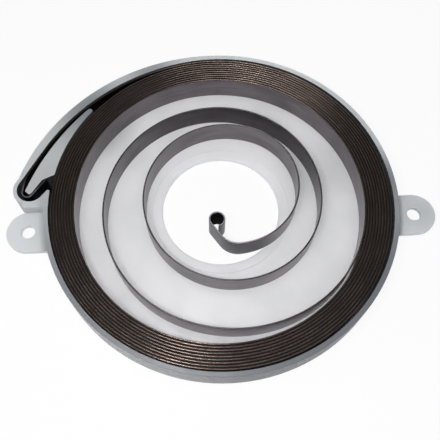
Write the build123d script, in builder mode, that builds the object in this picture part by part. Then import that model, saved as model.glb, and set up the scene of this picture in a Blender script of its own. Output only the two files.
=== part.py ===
from build123d import *
import math
import os

os.makedirs("parts", exist_ok=True)

# A flat wound power spring lying in its moulded, open-topped cassette.
# The origin is the middle of the cassette's central hole, on its underside. +Z leaves
# the open side and the two ear holes stand in a row along X. Sizes are in millimetres.

# Steel strip
strip_w = 6.6          # width of the strip, which stands on edge on the floor
strip_t = 0.38         # thickness of the strip
turn_pitch = 0.65      # from one packed turn to the next
packed_turns = 9       # whole turns packed against the wall
packed_rest = 120.0    # degrees of one more turn before the strip comes loose
elbow_r = 5.0          # bend between the loose turns and the arm
elbow_turn = 61.0
arm_run_in = 0.5       # straight before the elbow
arm_length = 3.7       # straight arm after the elbow
eye_r = 1.7            # middle line of the curled eye that ends the arm
eye_turn = 295.0
hook_ease = 4.5        # straight of the pocket's outer side that the strip swings away from
hook_swing_r = 10.0
hook_swing_turn = 22.0
hook_run_in = 2.0      # straight before the hook
hook_r = 1.3           # middle line of the hook that ends the strip in the pocket
hook_turn = 150.0
hook_arm = 5.0         # straight end after the hook

# Each stretch of the loose turns: bend radius as a share of the packed coil's inner
# radius, and the angle it turns through
loose_turns = [(0.875, 45), (0.95, 50), (0.845, 85), (0.80, 70), (0.707, 105),
               (0.62, 85), (0.61, 95), (0.58, 95), (0.47, 105), (0.455, 50)]

# Cassette
cavity_r = 40.05       # wall's inner face
wall_t = 1.15
floor_t = 1.2
hole_r = 14.0          # central hole through the floor
hole_chamfer = 0.4
seat_w = 2.4           # shallow ring sunk into the floor round the hole
seat_depth = 0.15
foot_bevel = 0.4       # under the outer wall
coil_clear = 0.2       # between the strip and every wall that it runs along
coil_settle = (-0.25, -0.25)  # the wound coil lies a little to one side of the cavity

# Hook pocket, which leaves the cavity tangentially and comes back as a U
lead_angle = 100.0     # where the strip leaves the coil, measured from +X
lead_flare = 10.4      # how much wider than the cavity the pocket's outer side is curved
lead_turn = 50.0
lead_straight = 10.45
pocket_bend_r = 3.2    # closed end of the pocket
pocket_bend_turn = 170.0
pocket_return = 4.0    # straight side that leads back into the cavity
pocket_mouth_r = 0.4   # rounded corner where that side meets the cavity
pocket_wall_t = 0.9    # wall round the closed end
swell_before = 15.0    # degrees before the strip leaves where the outer wall starts to thicken
swell_stop = 12.0      # degrees before the closed end where it meets the wall round that
block_drop = 4.8       # from the middle of the closed end to the block's near side
block_reach = 1.6      # and to its outer side
corner_round = 0.5     # rounded corners where these meet

# Wedge-shaped island that the hook is bent round. Its three outer corners are measured
# from the middle of the hook, on the way the strip comes in and to the left of that.
island_face_inset = 0.3  # its side along the coil stands inside the cavity's circle
island_tip_turn = 39.8   # degrees from where the strip leaves the coil to the thin end
island_tip_w = 1.2
island_heel_turn = 68.5
island_toe = (-0.13, -0.66)
island_sole = (0.75, 0.70)
island_arch = (-3.45, 2.74)
island_side_r = 60.0
island_round = 0.5

# Ears with the screw holes
ear_reach = 3.8        # from the outer wall to the middle of an ear's hole
ear_y = -5.3
ear_r = 5.0
ear_t = 1.2
ear_drop = 3.0         # from the rim down to the ears' upper face
ear_hole_r = 1.6
ear_root_r = 1.0

outer_r = cavity_r + wall_t
rim_z = floor_t + strip_w
ear_x = outer_r + ear_reach
lead_r = cavity_r + lead_flare
coil_r = cavity_r - coil_clear - strip_t / 2 - turn_pitch / 4
inner_coil_r = coil_r - packed_turns * turn_pitch


def polar(radius, angle):
    """Point at this distance from the origin, angle in degrees from +X."""
    return Vector(radius * math.cos(math.radians(angle)), radius * math.sin(math.radians(angle)))


def trace(point, heading, moves, shift=0.0):
    """Draw joined bends (radius, angle, + to the left) and straights (None, length).

    The line runs shift to the left of the guide that starts at point. Returns its end.
    """
    here = point + polar(shift, heading + 90)
    for radius, amount in moves:
        way = polar(1, heading)
        if radius is None:
            end = here + way * amount
            Line(here, end)
        else:
            side = math.copysign(1, amount)
            reach = radius - side * shift
            middle = here + polar(reach, heading + 90 * side)
            heading += amount
            end = middle - polar(reach, heading + 90 * side)
            halfway = middle - polar(reach, heading - amount / 2 + 90 * side)
            ThreePointArc(here, halfway, end)
        here = end
    return here


def follow(point, heading, moves):
    """End point and heading of a guide line, without drawing it."""
    for radius, amount in moves:
        if radius is None:
            point = point + polar(amount, heading)
        else:
            side = 90 * math.copysign(1, amount)
            middle = point + polar(radius, heading + side)
            heading += amount
            point = middle - polar(radius, heading + side)
    return point, heading


# The strip, drawn as its two faces from the point where it leaves the packed coil
leaving = Vector(*coil_settle) + polar(coil_r + turn_pitch / 4, lead_angle)
strip_inset = coil_clear + strip_t / 2

inward = [(coil_r - half * turn_pitch / 2, -180) for half in range(2 * packed_turns)]
inward += [(inner_coil_r, -packed_rest)]
inward += [(share * inner_coil_r, -turn) for share, turn in loose_turns]
inward += [(None, arm_run_in), (elbow_r, -elbow_turn), (None, arm_length), (eye_r, -eye_turn)]

outward = [(lead_r - strip_inset, lead_turn), (None, lead_straight - hook_ease)]
outward += [(hook_swing_r, hook_swing_turn), (None, hook_run_in)]
hook_start, hook_heading = follow(leaving, lead_angle + 90, outward)
hook_middle = hook_start + polar(hook_r, hook_heading + 90)
outward += [(hook_r, hook_turn), (None, hook_arm)]

with BuildPart() as spring:
    with BuildSketch(Plane.XY.offset(floor_t)):
        with BuildLine():
            eye_out = trace(leaving, lead_angle - 90, inward, strip_t / 2)
            eye_in = trace(leaving, lead_angle - 90, inward, -strip_t / 2)
            Line(eye_out, eye_in)
            hook_out = trace(leaving, lead_angle + 90, outward, -strip_t / 2)
            hook_in = trace(leaving, lead_angle + 90, outward, strip_t / 2)
            Line(hook_out, hook_in)
        make_face()
    extrude(amount=strip_w)

# The cassette: a solid outline, opened for the coil and the hook
pocket_start = polar(cavity_r, lead_angle)
pocket_lead = [(lead_r, lead_turn), (None, lead_straight)]
bend_start, bend_heading = follow(pocket_start, lead_angle + 90, pocket_lead)
bend_middle = bend_start + polar(pocket_bend_r, bend_heading + 90)
pocket = pocket_lead + [(pocket_bend_r, pocket_bend_turn), (None, pocket_return)]
swell_angle = lead_angle - swell_before
swell_start = polar(outer_r, swell_angle)
swell_end = bend_middle + polar(pocket_bend_r + pocket_wall_t, bend_heading - 90 - swell_stop)
block_x = bend_middle.X - block_reach
block_y = bend_middle.Y - block_drop

island_face_r = cavity_r - island_face_inset
island_tip = polar(island_face_r, lead_angle + island_tip_turn)
island_shoulder = polar(island_face_r + island_tip_w, lead_angle + island_tip_turn)
island_heel = polar(island_face_r, lead_angle + island_heel_turn)
toe, sole, arch = [
    hook_middle + polar(along, hook_heading) + polar(aside, hook_heading + 90)
    for along, aside in (island_toe, island_sole, island_arch)
]

with BuildSketch() as island:
    with BuildLine():
        Line(island_tip, island_shoulder)
        RadiusArc(island_shoulder, toe, -island_side_r)
        Polyline(toe, sole, arch, island_heel)
        RadiusArc(island_heel, island_tip, island_face_r)
    make_face()
    fillet(island.vertices(), island_round)

with BuildPart() as cassette:
    with BuildSketch() as outline:
        Circle(outer_r)
        with BuildLine():
            TangentArc(swell_start, swell_end, tangent=polar(1, swell_angle + 90))
            Polyline(swell_end, (block_x, bend_middle.Y), (block_x, block_y), (-cavity_r, block_y), swell_start)
        make_face()
        with Locations(bend_middle):
            Circle(pocket_bend_r + pocket_wall_t)
        fillet(outline.vertices().sort_by_distance(bend_middle)[:4], corner_round)
    extrude(amount=rim_z)
    chamfer(cassette.faces().sort_by(Axis.Z)[0].edges(), foot_bevel)
    with BuildSketch(Plane.XY.offset(rim_z - ear_drop)):
        for side in (1, -1):
            with Locations((side * ear_x, ear_y)):
                Circle(ear_r)
            with Locations((side * ear_x / 2, ear_y)):
                Rectangle(ear_x, 2 * ear_r)
    extrude(amount=-ear_t)
    roots = cassette.edges().filter_by(Axis.Z).filter_by(
        lambda e: abs(e.length - ear_t) < 0.01 and abs(math.hypot(e.center().X, e.center().Y) - outer_r) < 0.01)
    fillet(roots, ear_root_r)
    with Locations(*[(side * ear_x, ear_y, rim_z) for side in (1, -1)]):
        Hole(ear_hole_r)
    with BuildSketch(Plane.XY.offset(floor_t)) as cavity:
        Circle(cavity_r)
        with BuildLine():
            pocket_end = trace(pocket_start, lead_angle + 90, pocket)
            Line(pocket_end, pocket_start)
        make_face()
        on_wall = cavity.vertices().filter_by(lambda v: abs(math.hypot(v.X, v.Y) - cavity_r) < 0.01)
        fillet(on_wall.sort_by_distance(bend_middle)[0], pocket_mouth_r)
        add(island.sketch, mode=Mode.SUBTRACT)
    extrude(amount=strip_w, mode=Mode.SUBTRACT)
    Cylinder(hole_r, 2 * floor_t, mode=Mode.SUBTRACT)
    with Locations((0, 0, floor_t)):
        Cylinder(hole_r + seat_w, 2 * seat_depth, mode=Mode.SUBTRACT)
    with Locations((0, 0, floor_t - seat_depth - hole_chamfer / 2)):
        Cone(hole_r, hole_r + hole_chamfer, hole_chamfer, mode=Mode.SUBTRACT)

spring.part.label = "spring strip"
cassette.part.label = "cassette"

export_step(cassette.part, "parts/cassette.step")
export_step(spring.part, "parts/spring_strip.step")
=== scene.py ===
import math

import bmesh
import bpy
from bpy.props import FloatProperty, FloatVectorProperty, IntProperty, PointerProperty
from bpy.types import Operator, Panel, PropertyGroup
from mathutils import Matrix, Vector, bvhtree, kdtree


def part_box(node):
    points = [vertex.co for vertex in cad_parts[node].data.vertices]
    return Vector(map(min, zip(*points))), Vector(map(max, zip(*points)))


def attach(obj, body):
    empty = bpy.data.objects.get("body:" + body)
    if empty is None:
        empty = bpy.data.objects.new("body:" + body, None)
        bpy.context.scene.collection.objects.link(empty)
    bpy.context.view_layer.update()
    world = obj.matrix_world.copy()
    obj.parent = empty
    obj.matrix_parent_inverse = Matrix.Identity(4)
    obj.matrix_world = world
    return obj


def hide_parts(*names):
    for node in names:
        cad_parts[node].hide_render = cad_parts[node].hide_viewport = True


bl_info = {
    "name": "Flat power spring in its cassette",
    "version": (1, 0, 0),
    "blender": (4, 5, 0),
    "location": "View3D > Sidebar > Power spring",
    "description": "Dresses a wound steel strip and its moulded cassette on a white table",
    "category": "Object",
}

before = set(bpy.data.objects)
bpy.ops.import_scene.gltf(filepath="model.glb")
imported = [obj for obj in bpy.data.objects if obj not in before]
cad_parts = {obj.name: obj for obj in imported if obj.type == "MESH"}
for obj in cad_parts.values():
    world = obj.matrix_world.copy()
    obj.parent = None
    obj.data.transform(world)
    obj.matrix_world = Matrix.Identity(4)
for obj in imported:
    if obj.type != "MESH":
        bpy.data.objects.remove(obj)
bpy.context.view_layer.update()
STRIP_LOW, STRIP_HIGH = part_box("spring_strip")
MM = 0.001


def srgb(text):
    """Linear RGBA of an sRGB hex colour."""
    values = [int(text[i:i + 2], 16) / 255 for i in (0, 2, 4)]
    linear = [v / 12.92 if v <= 0.04045 else ((v + 0.055) / 1.055) ** 2.4 for v in values]
    return (*linear, 1.0)


def node(tree, kind, inputs=None, **settings):
    """Add a node with its settings, and set or link its inputs by name or number.

    A node given as an input stands for its first output in use.
    """
    new = tree.nodes.new(kind)
    for name, value in settings.items():
        setattr(new, name, value)
    for key, value in (inputs or {}).items():
        if isinstance(value, bpy.types.Node):
            value = next(output for output in value.outputs if output.enabled)
        if isinstance(value, bpy.types.NodeSocket):
            tree.links.new(value, new.inputs[key])
        else:
            new.inputs[key].default_value = value
    return new


def new_material(name):
    """An empty node material with its output node."""
    material = bpy.data.materials.new(name)
    material.use_nodes = True
    material.node_tree.nodes.clear()
    return material, material.node_tree


# --------------------------------------------------------------------- sizes and colours


def length(name, description, default):
    """A length property, in metres."""
    return FloatProperty(
        name=name, description=description, default=default, unit="LENGTH", precision=5, min=0.0
    )


def power(name, description, default):
    """A lamp's power property, in watts."""
    return FloatProperty(name=name, description=description, default=default, unit="POWER", min=0.0)


def colour(name, description, default):
    """A colour property, from an sRGB hex colour."""
    return FloatVectorProperty(
        name=name, description=description, default=srgb(default),
        subtype="COLOR", size=4, min=0.0, max=1.0,
    )


class StripSettings(PropertyGroup):
    """The steel strip's own sizes and colours."""

    thickness: length("Thickness", "Thickness of the strip", 0.38 * MM)
    edge_radius: length("Edge radius", "Rounding of the strip's four long corners", 0.1 * MM)
    pitch: length("Turn pitch", "Distance from one packed turn to the next", 0.65 * MM)
    side_play: length("Side play", "How far a turn wanders to either side", 0.03 * MM)
    height_play: length("Height play", "How far a turn sits below the highest one", 0.12 * MM)
    play_run: length("Play run", "Length of strip over which its place wanders", 28.0 * MM)
    seed: IntProperty(name="Seed", description="Changes where the turns wander", default=4, min=0)
    annealed_end: length("Annealed end", "Length of strip softened to bend the eye", 22.0 * MM)
    face: colour("Rolled face", "Colour of the strip's two wide faces", "787376")
    edge: colour("Slit edge", "Colour of the strip's two narrow edges in the packed coil", "2B2522")
    loose_edge: colour("Loose edge", "Colour of the narrow edges of the loose turns", "2B292A")
    rubbed: colour("Rubbed corner", "Colour of the long corners, which are worn bright", "4C403C")
    annealed: colour("Annealed steel", "Colour of the softened end", "4F4D52")
    # Painted shade inside the curled eye
    eye_shade: colour("Soot", "Colour inside the eye", "1B191A")


class GreaseSettings(PropertyGroup):
    """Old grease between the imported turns."""

    depth: length("Depth", "How far the grease lies below the strip's highest edge", 0.42 * MM)
    height: length("Height", "Height of each bead of grease", 0.5 * MM)
    fresh: colour("Grease", "Colour of the grease", "12100E")
    dusty: colour("Dusty grease", "Colour where dust has caught in it", "1F1B18")


class CassetteSettings(PropertyGroup):
    """The moulded cassette's finish."""

    edge_round: length("Edge rounding", "Softness of every moulded edge", 0.14 * MM)
    grain: length("Surface grain", "Size of the faint unevenness left by the mould", 0.6 * MM)
    # Painted light and shade: the floor's colour below is paler and this one darker than the
    # plastic's own, as light through the floor and shade on the walls make them
    thick: colour("Thick plastic", "Colour of the rim and the other thick parts", "E4E8EA")
    thin_and_lit: colour("Thin plastic", "Colour of the floor and its edges", "F3F3F5")
    cloud: colour("Cloudy patches", "Colour of the duller patches in the plastic", "D6D8D3")
    milky: FloatProperty(
        name="Milky", description="Share of the light that passes into thick plastic",
        default=0.4, subtype="FACTOR", min=0.0, max=1.0,
    )
    # Old oil and painted shade: this colour darkens the plastic where the strip stands close, as
    # the shade of the deep gaps and the pocket, with the oil there
    oil: colour("Old oil", "Colour of the oily dirt between the strip and the plastic", "171A20")
    # Painted shade: the colour of the soft darker spots and of the darker near side of the rim
    shade_film: colour("Oil film", "Colour of the thin smears of oil on the open plastic", "6C7078")


class StageSettings(PropertyGroup):
    """Table, lamps and camera."""

    table_size: length("Table", "Side of the square table", 3.0)
    fill: FloatProperty(
        name="Fill", description="Strength of the even light from all round", default=0.28, min=0.0
    )
    soft: power("Soft lamp", "Power of the wide lamp overhead", 2.0)
    key: power("Key lamp", "Power of the small lamp beside the camera", 0.1)
    near: power("Near glint", "Power of the lamp that only the glossy near edges show", 2.4)
    far: power("Far glint", "Power of the lamp that only the glossy far edges show", 3.6)
    lens: FloatProperty(
        name="Lens", description="Focal length on a 36 mm sensor, in millimetres",
        default=50.25, min=1.0,
    )


# --------------------------------------------------------------------- materials


# Painted shade, as soft darker spots on the plastic, at the island's narrow end, by the right ear,
# on the far left of the rim, on the right ear and on the floor: each has its middle and reach in
# millimetres, and its strength
SHADE_SMEARS = [
    ((-30.5, 25.5, 7.8), 15.0, 0.66),
    ((39.5, 3.0, 11.5), 11.5, 0.8),
    ((-15.0, 37.5, 11.5), 12.0, 0.7),
    ((47.0, -5.0, 4.8), 8.0, 0.2),
    ((25.0, 9.0, 1.2), 13.0, 0.15),
]


def plastic_material(settings):
    """Natural polyamide, injection moulded.

    It is milky. Flat faces lying low, as on the floor, are painted paler, as light from the white
    table through the floor makes them look, and upright faces and the thick rim are painted darker,
    as shade. The mould left a smooth satin skin and the melt a faint cloudiness. Where the strip
    stands close, the plastic is painted dark, as shade in the deep gaps and the pocket, with old
    oil there too, and soft darker spots and the near side of the rim are painted shade.
    """
    material, tree = new_material("natural_polyamide_moulded")
    place = node(tree, "ShaderNodeTexCoord").outputs["Object"]
    x, y, z = node(tree, "ShaderNodeSeparateXYZ", {0: place}).outputs
    level = node(tree, "ShaderNodeCombineXYZ", {"X": x, "Y": y})
    radius = node(tree, "ShaderNodeVectorMath", {0: level}, operation="LENGTH")

    # Painted light and shade: flat faces and the edge of the central hole get the paler colour, the
    # more the lower they lie, and upright and high faces get the darker one
    normal = node(tree, "ShaderNodeNewGeometry").outputs["Normal"]
    upright = node(tree, "ShaderNodeSeparateXYZ", {0: normal}).outputs["Z"]
    flat = node(tree, "ShaderNodeMath", {0: upright}, operation="ABSOLUTE")
    flat = node(tree, "ShaderNodeMapRange", {"Value": flat, "From Min": 0.6, "From Max": 0.95})
    hole_edge = node(tree, "ShaderNodeMath", {0: radius, 1: 17 * MM}, operation="LESS_THAN")
    flat = node(tree, "ShaderNodeMath", {0: flat, 1: hole_edge}, operation="MAXIMUM")
    near_table = node(
        tree, "ShaderNodeMapRange",
        {"Value": z, "From Min": 1.2 * MM, "From Max": 7.8 * MM, "To Min": 1.0, "To Max": 0.06},
    )
    thin_and_lit = node(tree, "ShaderNodeMath", {0: flat, 1: near_table}, operation="MULTIPLY")
    tone = node(
        tree, "ShaderNodeMix", {0: thin_and_lit, 6: settings.thick, 7: settings.thin_and_lit}, data_type="RGBA"
    )

    # Cloudy patches some nine millimetres across
    clouds = node(
        tree, "ShaderNodeTexNoise",
        {"Vector": place, "Scale": 1 / (9 * MM), "Detail": 3.0, "Roughness": 0.55},
    )
    patches = node(
        tree, "ShaderNodeMapRange",
        {"Value": clouds, "From Min": 0.42, "From Max": 0.7, "To Max": 0.22},
    )
    tone = node(tree, "ShaderNodeMix", {0: patches, 6: tone, 7: settings.cloud}, data_type="RGBA")

    # Painted shade with old oil: the plastic where the strip stands close, under the imported turns
    # and through the pocket, is darkened as the deep gaps there lie in shade, but not the bare
    # floor
    outer = node(
        tree, "ShaderNodeMapRange", {"Value": radius, "From Min": 35.5 * MM, "From Max": 37.5 * MM}
    )
    oiled_and_shaded = node(tree, "ShaderNodeAttribute", attribute_name="oiled_and_shaded").outputs["Fac"]
    oily_shade = node(tree, "ShaderNodeMath", {0: oiled_and_shaded, 1: outer}, operation="MULTIPLY")
    oily_shade = node(tree, "ShaderNodeMath", {0: oily_shade, 1: 0.94}, operation="MULTIPLY")
    tone = node(tree, "ShaderNodeMix", {0: oily_shade, 6: tone, 7: settings.oil}, data_type="RGBA")
    for middle, reach, strength in SHADE_SMEARS:
        away = node(
            tree, "ShaderNodeVectorMath", {0: place, 1: Vector(middle) * MM}, operation="DISTANCE"
        )
        shade_smear = node(
            tree, "ShaderNodeMapRange",
            {"Value": away, "From Max": reach * MM, "To Min": strength, "To Max": 0.0},
            interpolation_type="SMOOTHSTEP",
        )
        tone = node(tree, "ShaderNodeMix", {0: shade_smear, 6: tone, 7: settings.shade_film}, data_type="RGBA")

    # Painted shade along the near side of the rim's top, and on its wall, darker towards the right,
    # but not on the floor or the ears
    near_side = node(
        tree, "ShaderNodeMapRange",
        {"Value": y, "From Min": 14 * MM, "From Max": -22 * MM},
        interpolation_type="SMOOTHSTEP",
    )
    on_wall = node(
        tree, "ShaderNodeMapRange",
        {"Value": x, "From Min": -32 * MM, "From Max": 12 * MM, "To Max": 0.75},
        interpolation_type="SMOOTHSTEP",
    )
    on_top = node(
        tree, "ShaderNodeMapRange",
        {"Value": on_wall, "From Max": 0.75, "To Min": 0.74, "To Max": 0.84},
    )
    off_floor = node(tree, "ShaderNodeMath", {0: radius, 1: 39 * MM}, operation="GREATER_THAN")
    off_ears = node(
        tree, "ShaderNodeMapRange",
        {"Value": radius, "From Min": 41.5 * MM, "From Max": 43 * MM, "To Min": 1.0, "To Max": 0.0},
    )
    run_shade = node(tree, "ShaderNodeMix", {0: flat, 2: on_wall, 3: on_top})
    for share in (near_side, off_floor, off_ears):
        run_shade = node(tree, "ShaderNodeMath", {0: run_shade, 1: share}, operation="MULTIPLY")
    tone = node(tree, "ShaderNodeMix", {0: run_shade, 6: tone, 7: settings.shade_film}, data_type="RGBA")

    skin = node(
        tree, "ShaderNodeTexNoise", {"Vector": place, "Scale": 1 / settings.grain, "Detail": 2.0}
    )
    bump = node(tree, "ShaderNodeBump", {"Height": skin, "Strength": 0.08, "Distance": 0.02 * MM})
    gloss = node(
        tree, "ShaderNodeMapRange",
        {"Value": clouds, "From Min": 0.3, "From Max": 0.7, "To Min": 0.22, "To Max": 0.34},
    )
    surface = node(
        tree, "ShaderNodeBsdfPrincipled",
        {
            "Base Color": tone,
            "Roughness": gloss,
            "IOR": 1.53,
            "Specular IOR Level": 0.2,
            "Normal": bump,
        },
    )
    through = node(tree, "ShaderNodeBsdfTranslucent", {"Color": tone})
    depth = node(
        tree, "ShaderNodeMapRange", {"Value": thin_and_lit, "To Min": settings.milky, "To Max": 0.6}
    )
    milky = node(tree, "ShaderNodeMixShader", {0: depth, 1: surface, 2: through})
    node(tree, "ShaderNodeOutputMaterial", {"Surface": milky})
    return material


def steel_material(settings, width, packed_from, packed_to, total):
    """Hardened spring steel, cold rolled, slit and left with oil.

    The wide faces are smooth with fine rolling streaks along the strip. The slit edges are
    brown-black from hardening, and their corners are rubbed bright. The eye's end was annealed,
    which leaves it an even grey, and its inside is painted dark as shade.

    packed_from and packed_to are the lengths along the strip, in metres, where its packed
    turns start and end, and total is its whole length.
    """
    material, tree = new_material("rolled_spring_steel")
    along = node(tree, "ShaderNodeAttribute", attribute_name="along").outputs["Fac"]
    across = node(tree, "ShaderNodeAttribute", attribute_name="across").outputs["Fac"]
    inside = node(tree, "ShaderNodeAttribute", attribute_name="inside").outputs["Fac"]

    # Rolling streaks a quarter of a millimetre wide and some fifteen long, and a wider mottle
    unrolled = node(tree, "ShaderNodeCombineXYZ", {"X": along, "Y": across})
    stretched = node(
        tree, "ShaderNodeMapping",
        {"Vector": unrolled, "Scale": (1 / (15 * MM), 1 / (0.25 * MM), 1.0)},
    )
    streaks = node(tree, "ShaderNodeTexNoise", {"Vector": stretched, "Scale": 1.0, "Detail": 4.0})
    mottled = node(
        tree, "ShaderNodeMapping", {"Vector": unrolled, "Scale": (1 / (9 * MM), 1 / (4 * MM), 1.0)}
    )
    mottle = node(tree, "ShaderNodeTexNoise", {"Vector": mottled, "Scale": 1.0, "Detail": 2.0})
    shade = node(tree, "ShaderNodeMath", {0: streaks, 1: mottle}, operation="ADD")
    shade = node(
        tree, "ShaderNodeMapRange",
        {"Value": shade, "From Min": 0.7, "From Max": 1.3, "To Min": 0.72, "To Max": 1.2},
    )

    # Both ends were softened to bend them
    soft_from = total - settings.annealed_end
    eye_end = node(
        tree, "ShaderNodeMapRange",
        {"Value": along, "From Min": soft_from - 5 * MM, "From Max": soft_from},
    )
    hook_end = node(
        tree, "ShaderNodeMapRange",
        {"Value": along, "From Min": 9 * MM, "From Max": 12 * MM, "To Min": 1.0, "To Max": 0.0},
    )
    soft_end = node(tree, "ShaderNodeMath", {0: eye_end, 1: hook_end}, operation="MAXIMUM")
    face = node(
        tree, "ShaderNodeMix",
        {0: soft_end, 6: settings.face, 7: settings.annealed},
        data_type="RGBA",
    )

    # A darker stretch of the first loose turn
    aside = node(tree, "ShaderNodeMath", {0: along, 1: packed_to + 135 * MM}, operation="SUBTRACT")
    aside = node(tree, "ShaderNodeMath", {0: aside}, operation="ABSOLUTE")
    darker_stretch = node(
        tree, "ShaderNodeMapRange",
        {"Value": aside, "From Min": 12 * MM, "From Max": 55 * MM, "To Min": 0.52, "To Max": 1.0},
        interpolation_type="SMOOTHSTEP",
    )
    shade = node(tree, "ShaderNodeMath", {0: shade, 1: darker_stretch}, operation="MULTIPLY")
    face = node(tree, "ShaderNodeVectorMath", {0: face, "Scale": shade}, operation="SCALE")

    # From 0 on the wide faces, through the rounded corner, to 1 on the narrow edge
    height = node(tree, "ShaderNodeMath", {0: across}, operation="ABSOLUTE")
    on_edge = node(
        tree, "ShaderNodeMapRange",
        {
            "Value": height,
            "From Min": width / 2 - settings.edge_radius,
            "From Max": width / 2 - 0.02 * settings.edge_radius,
        },
    )

    # The edges' temper colour changes every few millimetres, and is greyer on the loose turns
    temper = node(
        tree, "ShaderNodeTexNoise",
        {"W": along, "Scale": 1 / (6 * MM), "Detail": 2.0},
        noise_dimensions="1D",
    )
    temper = node(
        tree, "ShaderNodeMapRange",
        {"Value": temper, "From Min": 0.35, "From Max": 0.7, "To Min": 0.85, "To Max": 1.35},
    )
    loose = node(
        tree, "ShaderNodeMapRange",
        {"Value": along, "From Min": packed_to - 40 * MM, "From Max": packed_to + 40 * MM},
    )
    edge = node(
        tree, "ShaderNodeMix",
        {0: loose, 6: settings.edge, 7: settings.loose_edge},
        data_type="RGBA",
    )
    edge = node(tree, "ShaderNodeVectorMath", {0: edge, "Scale": temper}, operation="SCALE")
    edge = node(
        tree, "ShaderNodeMix", {0: soft_end, 6: edge, 7: settings.annealed}, data_type="RGBA"
    )
    corner = node(tree, "ShaderNodeMapRange", {"Value": on_edge, "From Max": 0.45})
    tone = node(tree, "ShaderNodeMix", {0: corner, 6: face, 7: settings.rubbed}, data_type="RGBA")
    top = node(tree, "ShaderNodeMapRange", {"Value": on_edge, "From Min": 0.55, "From Max": 0.95})
    tone = node(tree, "ShaderNodeMix", {0: top, 6: tone, 7: edge}, data_type="RGBA")

    # Painted shade inside the curled eye
    in_eye = node(
        tree, "ShaderNodeMapRange",
        {"Value": along, "From Min": total - 10.5 * MM, "From Max": total - 8.5 * MM},
    )
    eye_shaded = node(tree, "ShaderNodeMath", {0: in_eye, 1: inside}, operation="MULTIPLY")
    tone = node(tree, "ShaderNodeMix", {0: eye_shaded, 6: tone, 7: settings.eye_shade}, data_type="RGBA")

    # Painted shade: the end in the pocket is darkened, as it lies in the pocket's shade and in old
    # oil
    pocket_shade = node(
        tree, "ShaderNodeMapRange",
        {"Value": along, "From Min": packed_from - 14 * MM, "From Max": packed_from, "To Min": 0.6},
    )
    tone = node(tree, "ShaderNodeVectorMath", {0: tone, "Scale": pocket_shade}, operation="SCALE")

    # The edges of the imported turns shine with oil, and those of the loose turns are wiped
    rough = node(tree, "ShaderNodeMapRange", {"Value": on_edge, "To Min": 0.3, "To Max": 0.16})
    rough = node(tree, "ShaderNodeMix", {0: loose, 2: rough, 3: 0.3})
    rough = node(tree, "ShaderNodeMix", {0: soft_end, 2: rough, 3: 0.38})
    rough = node(tree, "ShaderNodeMix", {0: eye_shaded, 2: rough, 3: 0.95})
    bump = node(
        tree, "ShaderNodeBump", {"Height": streaks, "Strength": 0.12, "Distance": 0.01 * MM}
    )
    surface = node(
        tree, "ShaderNodeBsdfPrincipled",
        {
            "Base Color": tone,
            "Metallic": 1.0,
            "Roughness": rough,
            "Normal": bump,
        },
    )
    node(tree, "ShaderNodeOutputMaterial", {"Surface": surface})
    return material


def grease_material(settings):
    """Old lithium grease, smoothed by the turns.

    The dust in it leaves it dull and almost without gloss.
    """
    material, tree = new_material("old_lithium_grease")
    place = node(tree, "ShaderNodeTexCoord").outputs["Object"]
    # Dust lies in patches some six millimetres across
    dust = node(
        tree, "ShaderNodeTexNoise",
        {"Vector": place, "Scale": 1 / (6 * MM), "Detail": 4.0, "Roughness": 0.6},
    )
    share = node(tree, "ShaderNodeMapRange", {"Value": dust, "From Min": 0.4, "From Max": 0.7})
    tone = node(
        tree, "ShaderNodeMix", {0: share, 6: settings.fresh, 7: settings.dusty}, data_type="RGBA"
    )
    gloss = node(
        tree, "ShaderNodeMapRange",
        {"Value": dust, "From Min": 0.3, "From Max": 0.7, "To Min": 0.3, "To Max": 0.6},
    )
    surface = node(
        tree, "ShaderNodeBsdfPrincipled",
        {"Base Color": tone, "Roughness": gloss, "IOR": 1.47, "Specular IOR Level": 0.06},
    )
    node(tree, "ShaderNodeOutputMaterial", {"Surface": surface})
    return material


def seen_as_white(tree):
    """1 for a look at the background, straight, in gloss or through plastic, else 0."""
    path = node(tree, "ShaderNodeLightPath").outputs
    seen = path["Is Camera Ray"]
    for ray in ("Is Glossy Ray", "Is Transmission Ray"):
        seen = node(tree, "ShaderNodeMath", {0: seen, 1: path[ray]}, operation="MAXIMUM")
    return seen


def table_material():
    """Matt white card, seen as plain white but for the object's soft shadow.

    Where it is looked at, most of it is plain white, and the rest is lit and takes the shadow.
    """
    material, tree = new_material("matt_white_card")
    plain = 0.88
    part = node(tree, "ShaderNodeMath", {0: seen_as_white(tree), 1: plain}, operation="MULTIPLY")
    card = node(tree, "ShaderNodeBsdfDiffuse", {"Color": srgb("FFFFFF")})
    white = node(tree, "ShaderNodeEmission", {"Color": srgb("FFFFFF"), "Strength": 1.0})
    mixed = node(tree, "ShaderNodeMixShader", {0: part, 1: card, 2: white})
    node(tree, "ShaderNodeOutputMaterial", {"Surface": mixed})
    return material


# --------------------------------------------------------------------- the strip's path


# How the strip lies in the cassette, in millimetres and degrees
WALL_R = 40.05  # inner face of the cassette's wall
CLEAR = 0.2  # between that wall and the strip
SETTLE = Vector((-0.25, -0.25))  # the wound coil lies a little to one side
PACKED_TURNS = 9
PACKED_REST = 120.0  # of one more packed turn
LEAD_ANGLE = 100.0  # where the strip leaves the coil for the pocket, from +X
LEAD_R = WALL_R + 10.4  # outer side of the way into the pocket
LEAD_TURN = 50.0

# Joined bends (radius, angle, + to the left) and straights (None, length). The loose turns'
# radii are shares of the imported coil's inner radius.
LOOSE_TURNS = [
    (0.875, -45), (0.95, -50), (0.845, -85), (0.80, -70), (0.707, -105),
    (0.62, -85), (0.61, -95), (0.58, -95), (0.47, -105), (0.455, -50),
]
ARM_AND_EYE = [(None, 0.5), (5.0, -61), (None, 3.7), (1.7, -295)]
TO_HOOK = [(None, 5.95), (10.0, 22), (None, 2.0), (1.3, 150), (None, 5.0)]

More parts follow.
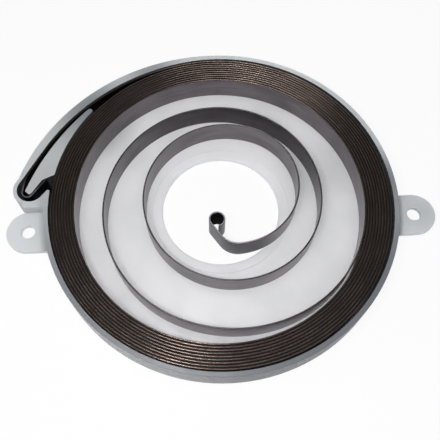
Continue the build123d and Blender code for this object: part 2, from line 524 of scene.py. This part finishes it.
BEND_STEP = 3.0  # most degrees between two points of a bend
ARC_STEP = 90.0  # most degrees times millimetres of radius, about 1.6 mm of arc


def polar(radius, angle):
    """Point at this distance from the middle, angle in degrees from +X."""
    return Vector((radius * math.cos(math.radians(angle)), radius * math.sin(math.radians(angle))))


def walk(point, heading, moves):
    """Points along joined bends and straights."""
    points = []
    for radius, amount in moves:
        if radius is None:
            point = point + polar(amount, heading)
            points.append(point)
            continue
        side = 90 * math.copysign(1, amount)
        middle = point + polar(radius, heading + side)
        turned = abs(amount)
        pieces = max(2, math.ceil(turned / BEND_STEP), math.ceil(turned * radius / ARC_STEP))
        for i in range(1, pieces + 1):
            points.append(middle - polar(radius, heading + amount * i / pieces + side))
        heading += amount
        point = points[-1]
    return points


def run_length(points):
    """Length of the line through these points."""
    return sum((end - start).length for start, end in zip(points, points[1:]))


def strip_path(settings):
    """The strip's middle line in millimetres, in three stretches, and the grease's line.

    From its hook in the pocket it runs to the rim, lies in half-turns against the
    cassette's wall, each smaller by half a pitch, then comes loose and ends in the eye.
    The grease lies half a pitch outside every packed turn but the first.
    """
    pitch = settings.pitch / MM
    half_t = settings.thickness / MM / 2
    coil_r = WALL_R - CLEAR - half_t - pitch / 4
    inner_r = coil_r - PACKED_TURNS * pitch
    leaving = SETTLE + polar(coil_r + pitch / 4, LEAD_ANGLE)
    inward, outward = LEAD_ANGLE - 90, LEAD_ANGLE + 90

    wound = [(coil_r - half * pitch / 2, -180) for half in range(2 * PACKED_TURNS)]
    wound += [(inner_r, -PACKED_REST)]
    loose = [(share * inner_r, turn) for share, turn in LOOSE_TURNS] + ARM_AND_EYE
    lead = [(LEAD_R - CLEAR - half_t, LEAD_TURN)] + TO_HOOK

    to_hook = walk(leaving, outward, lead)
    packed = walk(leaving, inward, wound)
    to_eye = walk(packed[-1], inward - PACKED_REST, loose)
    beside = [(radius + pitch / 2, turn) for radius, turn in wound]
    grease_start = walk(leaving + polar(pitch / 2, LEAD_ANGLE), inward, beside[:2])[-1]
    grease = walk(grease_start, inward, beside[2:])
    return to_hook[::-1], [leaving] + packed, to_eye, grease


# --------------------------------------------------------------------- geometry nodes


# The sideways and the upright play read two stretches of one noise, and each seed its own
SEED_APART = 17.3
DOWN_APART = 401.7


def strip_tree():
    """A strip standing on edge along a guide, with rounded corners and a little play.

    It stores the length along the strip, the height across it, and which face is the inner.
    """
    tree = bpy.data.node_groups.new("Strip on edge", "GeometryNodeTree")
    tree.interface.new_socket("Geometry", in_out="OUTPUT", socket_type="NodeSocketGeometry")
    kinds = {
        "Guide": "NodeSocketGeometry",
        "Width": "NodeSocketFloat",
        "Thickness": "NodeSocketFloat",
        "Edge radius": "NodeSocketFloat",
        "Side play": "NodeSocketFloat",
        "Height play": "NodeSocketFloat",
        "Play run": "NodeSocketFloat",
        "Seed": "NodeSocketInt",
        "Material": "NodeSocketMaterial",
    }
    for name, kind in kinds.items():
        tree.interface.new_socket(name, in_out="INPUT", socket_type=kind)
    given = node(tree, "NodeGroupInput").outputs

    guide = node(tree, "GeometryNodeMeshToCurve", {"Mesh": given["Guide"]})
    upright = node(tree, "GeometryNodeSetCurveNormal", {"Curve": guide}, mode="Z_UP")
    distance = node(tree, "GeometryNodeSplineParameter").outputs["Length"]
    marked = node(
        tree, "GeometryNodeStoreNamedAttribute",
        {"Geometry": upright, "Name": "along", "Value": distance},
        data_type="FLOAT", domain="POINT",
    )

    run = node(tree, "ShaderNodeMath", {0: distance, 1: given["Play run"]}, operation="DIVIDE")
    side_run = node(
        tree, "ShaderNodeMath", {0: given["Seed"], 1: SEED_APART, 2: run}, operation="MULTIPLY_ADD"
    )
    down_run = node(tree, "ShaderNodeMath", {0: side_run, 1: DOWN_APART}, operation="ADD")
    sideways, down = [
        node(
            tree, "ShaderNodeTexNoise",
            {"W": stretch, "Scale": 1.0, "Detail": 1.0},
            noise_dimensions="1D",
        )
        for stretch in (side_run, down_run)
    ]
    centred = node(tree, "ShaderNodeMapRange", {"Value": sideways, "To Min": -1.0, "To Max": 1.0})
    reach = node(tree, "ShaderNodeMath", {0: centred, 1: given["Side play"]}, operation="MULTIPLY")
    normal = node(tree, "GeometryNodeInputNormal")
    side = node(tree, "ShaderNodeVectorMath", {0: normal, "Scale": reach}, operation="SCALE")
    drop = node(tree, "ShaderNodeMath", {0: down, 1: given["Height play"]}, operation="MULTIPLY")
    drop = node(tree, "ShaderNodeCombineXYZ", {"Z": drop})
    offset = node(tree, "ShaderNodeVectorMath", {0: side, 1: drop}, operation="SUBTRACT")
    line = node(tree, "GeometryNodeSetPosition", {"Geometry": marked, "Offset": offset})

    section = node(
        tree, "GeometryNodeCurvePrimitiveQuadrilateral",
        {"Width": given["Thickness"], "Height": given["Width"]},
    )
    rounded = node(
        tree, "GeometryNodeFilletCurve",
        {"Curve": section, "Radius": given["Edge radius"], "Count": 3},
        mode="POLY",
    )
    place = node(tree, "GeometryNodeInputPosition")
    x, y, _ = node(tree, "ShaderNodeSeparateXYZ", {0: place}).outputs
    section = node(
        tree, "GeometryNodeStoreNamedAttribute",
        {"Geometry": rounded, "Name": "across", "Value": y},
        data_type="FLOAT", domain="POINT",
    )
    aside = node(tree, "ShaderNodeMath", {0: x, 1: given["Thickness"]}, operation="DIVIDE")
    inner = node(tree, "ShaderNodeMath", {0: aside, 1: 0.25}, operation="GREATER_THAN")
    section = node(
        tree, "GeometryNodeStoreNamedAttribute",
        {"Geometry": section, "Name": "inside", "Value": inner},
        data_type="FLOAT", domain="POINT",
    )
    swept = node(
        tree, "GeometryNodeCurveToMesh",
        {"Curve": line, "Profile Curve": section, "Fill Caps": True},
    )
    smooth = node(tree, "GeometryNodeSetShadeSmooth", {"Geometry": swept})
    real = node(tree, "GeometryNodeRealizeInstances", {0: smooth})
    finished = node(
        tree, "GeometryNodeSetMaterial", {"Geometry": real, "Material": given["Material"]}
    )
    node(tree, "NodeGroupOutput", {0: finished})
    return tree


def set_input(modifier, name, value):
    """Set a geometry nodes modifier's input by its shown name."""
    for item in modifier.node_group.interface.items_tree:
        if item.item_type == "SOCKET" and item.in_out == "INPUT" and item.name == name:
            modifier[item.identifier] = value
            return
    raise KeyError(name)


def settle_mesh(obj):
    """Turn an object's modifiers into its own plain mesh."""
    depsgraph = bpy.context.evaluated_depsgraph_get()
    done = bpy.data.meshes.new_from_object(obj.evaluated_get(depsgraph), depsgraph=depsgraph)
    obj.modifiers.clear()
    obj.data = done
    return obj


def mark_oil_and_shade(mesh, points, low, high):
    """Store on each vertex whether the strip stands close by with no plastic between.

    The points are the strip's middle line in millimetres; it stands from low to high.
    """
    # Painted shade with old oil: it reaches as far as creep from the strip, and leaves out the
    # rim's top, which lies in the light
    lift = 0.05 * MM  # from a vertex to where the search starts, clear of the plastic
    creep = 4 * MM  # how far the oil creeps from the strip
    rim = high - 0.12 * MM  # the rim's top is wiped clean
    close = []
    for start, end in zip(points, points[1:]):
        pieces = max(1, math.ceil((end - start).length))
        close += [start.lerp(end, i / pieces) * MM for i in range(pieces)]
    strip = kdtree.KDTree(len(close))
    for i, point in enumerate(close):
        strip.insert(point.to_3d(), i)
    strip.balance()
    plastic = bvhtree.BVHTree.FromPolygons(
        [vertex.co for vertex in mesh.vertices], [face.vertices for face in mesh.polygons]
    )

    # 1 where the plastic is painted dark as shade, with old oil
    oiled_and_shaded = mesh.attributes.new("oiled_and_shaded", "FLOAT", "POINT")
    for vertex, value in zip(mesh.vertices, oiled_and_shaded.data):
        start = vertex.co + vertex.normal * lift
        nearest = strip.find((start.x, start.y, 0))[0]
        nearest.z = min(max(start.z, low), high)
        way = nearest - start
        blocked = plastic.ray_cast(start, way, way.length)[0] is not None
        clean = blocked or vertex.co.z > rim or way.length > creep
        value.value = 0.0 if clean else 1.0


def closed_and_outward(mesh):
    """Raise an error if a mesh is open, and turn its faces outwards if they point in."""
    work = bmesh.new()
    work.from_mesh(mesh)
    if any(not edge.is_manifold for edge in work.edges):
        raise ValueError(mesh.name + " isn't closed")
    if work.calc_volume(signed=True) < 0:
        bmesh.ops.reverse_faces(work, faces=work.faces)
        work.to_mesh(mesh)
    work.free()


# --------------------------------------------------------------------- operators


def sweep_strip(context, name, points, height, values):
    """Sweep a strip on edge along these points as a plain mesh, its middle at this height."""
    mesh = bpy.data.meshes.new(name)
    mesh.from_pydata(
        [(point.x * MM, point.y * MM, height) for point in points],
        [(i, i + 1) for i in range(len(points) - 1)],
        [],
    )
    obj = bpy.data.objects.new(name, mesh)
    context.scene.collection.objects.link(obj)
    modifier = obj.modifiers.new("Strip", "NODES")
    modifier.node_group = strip_tree()
    for key, value in values.items():
        set_input(modifier, key, value)
    obj.modifiers.new("Flat faces", "WEIGHTED_NORMAL")
    settle_mesh(obj)
    closed_and_outward(obj.data)
    return obj


class SPRING_OT_strip(Operator):
    """Sweep the steel strip along its wound path"""

    bl_idname = "spring.strip"
    bl_label = "Steel strip"

    def execute(self, context):
        settings = context.scene.spring_strip
        to_hook, packed, to_eye, _ = strip_path(settings)
        packed_from = run_length(to_hook + packed[:1]) * MM
        packed_to = packed_from + run_length(packed) * MM
        total = packed_to + run_length(packed[-1:] + to_eye) * MM
        # The turns sink by up to the height play, so the strip is narrower by that
        width = STRIP_HIGH[2] - STRIP_LOW[2] - settings.height_play
        values = {
            "Width": width,
            "Thickness": settings.thickness,
            "Edge radius": settings.edge_radius,
            "Side play": settings.side_play,
            "Height play": settings.height_play,
            "Play run": settings.play_run,
            "Seed": settings.seed,
            "Material": steel_material(settings, width, packed_from, packed_to, total),
        }
        middle = STRIP_HIGH[2] - width / 2
        obj = sweep_strip(context, "wound_strip", to_hook + packed + to_eye, middle, values)
        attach(obj, "root")
        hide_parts("spring_strip")
        return {"FINISHED"}


class SPRING_OT_grease(Operator):
    """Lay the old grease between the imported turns"""

    bl_idname = "spring.grease"
    bl_label = "Old grease"

    def execute(self, context):
        strip = context.scene.spring_strip
        settings = context.scene.spring_grease
        values = {
            "Width": settings.height,
            "Thickness": strip.pitch - strip.thickness + 2 * strip.side_play,
            "Edge radius": 0.02 * MM,
            "Side play": 0.0,
            "Height play": 0.0,
            "Play run": strip.play_run,
            "Seed": strip.seed,
            "Material": grease_material(settings),
        }
        middle = STRIP_HIGH[2] - settings.depth - settings.height / 2
        obj = sweep_strip(context, "packed_grease", strip_path(strip)[3], middle, values)
        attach(obj, "root")
        return {"FINISHED"}


class SPRING_OT_cassette(Operator):
    """Soften the cassette's edges and give it its plastic"""

    bl_idname = "spring.cassette"
    bl_label = "Moulded cassette"

    def execute(self, context):
        settings = context.scene.spring_cassette
        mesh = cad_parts["cassette"].data.copy()
        # Join the loose triangles into whole faces, so that only real edges are rounded
        work = bmesh.new()
        work.from_mesh(mesh)
        bmesh.ops.remove_doubles(work, verts=work.verts, dist=0.0005 * MM)
        bmesh.ops.dissolve_limit(
            work, angle_limit=math.radians(0.3), verts=work.verts, edges=work.edges
        )
        work.to_mesh(mesh)
        work.free()
        mesh.shade_smooth()
        obj = bpy.data.objects.new("cassette_moulding", mesh)
        context.scene.collection.objects.link(obj)
        bevel = obj.modifiers.new("Moulded edges", "BEVEL")
        bevel.width = settings.edge_round
        bevel.segments = 3
        bevel.limit_method = "ANGLE"
        bevel.angle_limit = math.radians(32)  # more than between two facets of a round wall
        bevel.use_clamp_overlap = False
        obj.modifiers.new("Flat faces", "WEIGHTED_NORMAL")
        settle_mesh(obj)
        closed_and_outward(obj.data)
        to_hook, packed, to_eye, _ = strip_path(context.scene.spring_strip)
        mark_oil_and_shade(obj.data, to_hook + packed + to_eye, STRIP_LOW[2], STRIP_HIGH[2])
        obj.data.materials.clear()
        obj.data.materials.append(plastic_material(settings))
        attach(obj, "root")
        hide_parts("cassette")
        return {"FINISHED"}


PART_MIDDLE = Vector((0, 0, 0.006))
TABLE_Z = -0.02 * MM  # a hair below the cassette, so that their faces don't coincide


def area_lamp(context, name, place, size, watts):
    """A rectangular soft lamp aimed at the part, its place and size in metres."""
    light = bpy.data.lights.new(name, "AREA")
    light.shape = "RECTANGLE"
    light.size, light.size_y = size
    light.energy = watts
    lamp = bpy.data.objects.new(name, light)
    lamp.location = place
    lamp.rotation_euler = (PART_MIDDLE - Vector(place)).to_track_quat("-Z", "Y").to_euler()
    context.scene.collection.objects.link(lamp)
    return lamp


class SPRING_OT_stage(Operator):
    """Add the white table, the even light, the lamps and the camera"""

    bl_idname = "spring.stage"
    bl_label = "Table, light and camera"

    def execute(self, context):
        settings = context.scene.spring_stage
        scene = context.scene

        half = settings.table_size / 2
        mesh = bpy.data.meshes.new("table")
        corners = [(-half, -half), (half, -half), (half, half), (-half, half)]
        mesh.from_pydata([(x, y, TABLE_Z) for x, y in corners], [], [(0, 1, 2, 3)])
        mesh.materials.append(table_material())
        table = bpy.data.objects.new("table", mesh)
        scene.collection.objects.link(table)

        world = bpy.data.worlds.new("even white room")
        world.use_nodes = True
        tree = world.node_tree
        tree.nodes.clear()
        strength = node(
            tree, "ShaderNodeMapRange", {"Value": seen_as_white(tree), "To Min": settings.fill}
        )
        sky = node(tree, "ShaderNodeBackground", {"Color": srgb("FFFFFF"), "Strength": strength})
        node(tree, "ShaderNodeOutputWorld", {"Surface": sky})
        scene.world = world

        area_lamp(context, "soft_lamp", (-0.02, -0.12, 0.8), (0.8, 0.8), settings.soft)
        key = area_lamp(context, "key_lamp", (-0.03, -0.066, 0.14), (0.04, 0.012), settings.key)
        near = area_lamp(context, "near_lamp", (-0.036, 0.138, 0.8), (0.05, 0.04), settings.near)
        far = area_lamp(context, "far_lamp", (0.1, 0.6, 0.72), (0.28, 0.14), settings.far)
        for lamp in (key, near, far):
            lamp.visible_camera = False
        # These two only draw the light lines along the strip's edges and the rim
        for lamp in (near, far):
            lamp.visible_diffuse = False
            lamp.visible_transmission = False

        eye = Vector((-5.41, -64.04, 135.09)) * MM
        aim = Vector((-2.35, -4.99, 7.8)) * MM
        camera = bpy.data.objects.new("camera", bpy.data.cameras.new("camera"))
        camera.location = eye
        camera.rotation_euler = (aim - eye).to_track_quat("-Z", "Y").to_euler()
        camera.data.sensor_width = 36.0
        camera.data.lens = settings.lens
        camera.data.shift_x = 0.0179
        camera.data.shift_y = -0.0075
        camera.data.clip_start = 0.004
        scene.collection.objects.link(camera)
        scene.camera = camera
        scene.view_settings.view_transform = "Standard"
        return {"FINISHED"}


class SPRING_PT_panel(Panel):
    """Settings and buttons for every piece"""

    bl_label = "Power spring"
    bl_idname = "SPRING_PT_panel"
    bl_space_type = "VIEW_3D"
    bl_region_type = "UI"
    bl_category = "Power spring"

    def draw(self, context):
        groups = (
            ("spring_strip", "spring.strip"),
            ("spring_grease", "spring.grease"),
            ("spring_cassette", "spring.cassette"),
            ("spring_stage", "spring.stage"),
        )
        for holder, operator in groups:
            box = self.layout.box()
            settings = getattr(context.scene, holder)
            for name in settings.__annotations__:
                box.prop(settings, name)
            box.operator(operator)


CLASSES = (
    StripSettings,
    GreaseSettings,
    CassetteSettings,
    StageSettings,
    SPRING_OT_strip,
    SPRING_OT_grease,
    SPRING_OT_cassette,
    SPRING_OT_stage,
    SPRING_PT_panel,
)


def register():
    for item in CLASSES:
        bpy.utils.register_class(item)
    bpy.types.Scene.spring_strip = PointerProperty(type=StripSettings)
    bpy.types.Scene.spring_grease = PointerProperty(type=GreaseSettings)
    bpy.types.Scene.spring_cassette = PointerProperty(type=CassetteSettings)
    bpy.types.Scene.spring_stage = PointerProperty(type=StageSettings)


def unregister():
    del bpy.types.Scene.spring_stage
    del bpy.types.Scene.spring_cassette
    del bpy.types.Scene.spring_grease
    del bpy.types.Scene.spring_strip
    for item in reversed(CLASSES):
        bpy.utils.unregister_class(item)


def main():
    register()
    bpy.ops.spring.strip()
    bpy.ops.spring.grease()
    bpy.ops.spring.cassette()
    bpy.ops.spring.stage()


if __name__ == "__main__":
    main()
